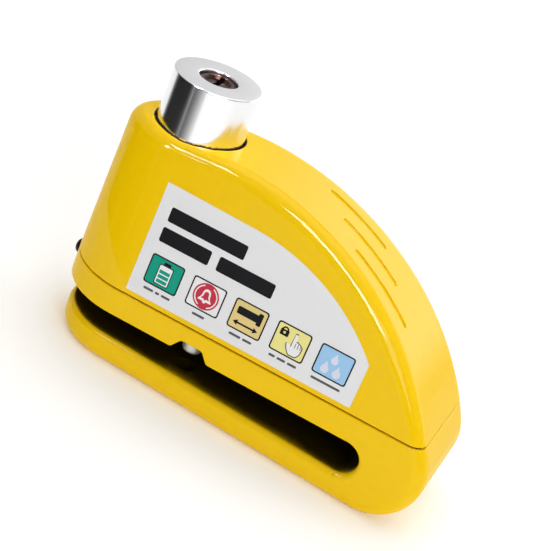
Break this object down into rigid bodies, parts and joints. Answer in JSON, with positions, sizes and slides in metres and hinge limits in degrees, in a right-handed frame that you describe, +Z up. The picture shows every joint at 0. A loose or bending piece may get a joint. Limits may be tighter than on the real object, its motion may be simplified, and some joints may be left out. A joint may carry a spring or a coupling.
{
  "type": "disc brake lock",
  "caption": "Alarm lock for a motorcycle brake disc: a cast wedge-shaped body with an open disc slot and a round push-down lock cylinder that drives a locking pin.",
  "frame": {"origin": "centre of the lock's bounding box in plan, on the flat foot that it stands on", "axes": "+X along the body, from the cylinder end to the closed end of the disc slot; +Y away from the side that carries the label; +Z up from the foot"},
  "size_m": [0.1156, 0.039, 0.0801],
  "materials": {
    "yellow_paint": "glossy powder-coated zinc alloy",
    "label_film": "printed polyester film with a satin gloss",
    "rubber": "matt moulded rubber",
    "steel": "zinc-plated steel",
    "black_oxide": "black-oxide steel",
    "black_plastic": "moulded, matt",
    "board_green": "solder-masked glass-fibre board",
    "brass": "machined",
    "cell_steel": "nickel-plated",
    "spring_steel": "drawn spring wire and strip",
    "white_plastic": "moulded",
    "chrome": "polished chrome plate",
    "dark_bronze": "darkened brass, oiled"
  },
  "bodies": {
    "casing": {"arming_switch": "black_plastic", "base_casting": "yellow_paint", "battery_bridge_contact": "spring_steel", "battery_cell_1": "cell_steel", "battery_cell_2": "cell_steel", "battery_cell_3": "cell_steel", "battery_cell_4": "cell_steel", "battery_cell_5": "cell_steel", "battery_cell_6": "cell_steel", "battery_contact_minus": "spring_steel", "battery_contact_plus": "spring_steel", "battery_tray": "black_plastic", "board_screw_1": "steel", "board_screw_2": "steel", "board_screw_3": "steel", "bolt_keeper": "steel", "circuit_board": "board_green", "controller_chip": "black_plastic", "cylinder_bush": "black_plastic", "cylinder_seal": "rubber", "end_screw": "black_oxide", "front_label": "label_film", "guide_rod": "steel", "housing_gasket": "rubber", "housing_screw_1": "steel", "housing_screw_2": "steel", "housing_screw_3": "steel", "housing_screw_4": "steel", "pin_bush": "brass", "return_spring": "spring_steel", "siren_case": "black_plastic", "siren_disc": "brass", "siren_horn_ring": "black_plastic", "step_up_coil": "black_plastic", "upper_housing": "yellow_paint", "vibration_sensor": "cell_steel"},
    "lock_cylinder": {"cylinder_sleeve": "chrome", "lock_barrel": "brass", "pin_carrier": "steel", "locking_pin": "chrome", "pin_nut": "steel", "carrier_screw_1": "steel", "carrier_screw_2": "steel"},
    "key_plug": {"lock_plug": "dark_bronze", "plug_cam": "steel", "cam_screw": "steel"},
    "wafer_1": {"wafer_1": "brass"},
    "wafer_2": {"wafer_2": "brass"},
    "wafer_3": {"wafer_3": "brass"},
    "wafer_4": {"wafer_4": "brass"},
    "side_bolt": {"side_bolt": "steel"},
    "switch_plunger": {"switch_plunger": "white_plastic"}
  },
  "joints": [
    {"name": "cylinder_press", "type": "slide", "parent": "casing", "child": "lock_cylinder", "axis": [0.0436, 0, -0.999], "range_m": [0, 0.0103], "stiffness_N_per_m": 600, "springref_m": -0.006, "deforming": ["return_spring"]},
    {"name": "key_turn", "type": "hinge", "parent": "lock_cylinder", "child": "key_plug", "pos_m": [-0.039, 0, 0.07879], "axis": [-0.0436, 0, 0.999], "range_deg": [0, 90]},
    {"name": "bolt_slide", "type": "slide", "parent": "lock_cylinder", "child": "side_bolt", "axis": [-0.999, 0, -0.0436], "range_m": [0, 0.002]},
    {"name": "wafer_1_lift", "type": "slide", "parent": "key_plug", "child": "wafer_1", "axis": [0, -1, 0], "range_m": [0, 0.0007], "stiffness_N_per_m": 40, "springref_m": -0.001},
    {"name": "wafer_2_lift", "type": "slide", "parent": "key_plug", "child": "wafer_2", "axis": [0, -1, 0], "range_m": [0, 0.0007], "stiffness_N_per_m": 40, "springref_m": -0.001},
    {"name": "wafer_3_lift", "type": "slide", "parent": "key_plug", "child": "wafer_3", "axis": [0, -1, 0], "range_m": [0, 0.0007], "stiffness_N_per_m": 40, "springref_m": -0.001},
    {"name": "wafer_4_lift", "type": "slide", "parent": "key_plug", "child": "wafer_4", "axis": [0, -1, 0], "range_m": [0, 0.0007], "stiffness_N_per_m": 40, "springref_m": -0.001},
    {"name": "switch_press", "type": "slide", "parent": "casing", "child": "switch_plunger", "axis": [0.0436, 0, -0.999], "range_m": [0, 0.0008], "stiffness_N_per_m": 200, "springref_m": -0.0005}
  ],
  "couplings": [
    {"joint": "bolt_slide", "follows": "key_turn", "m_per_rad": 0.001273}
  ]
}
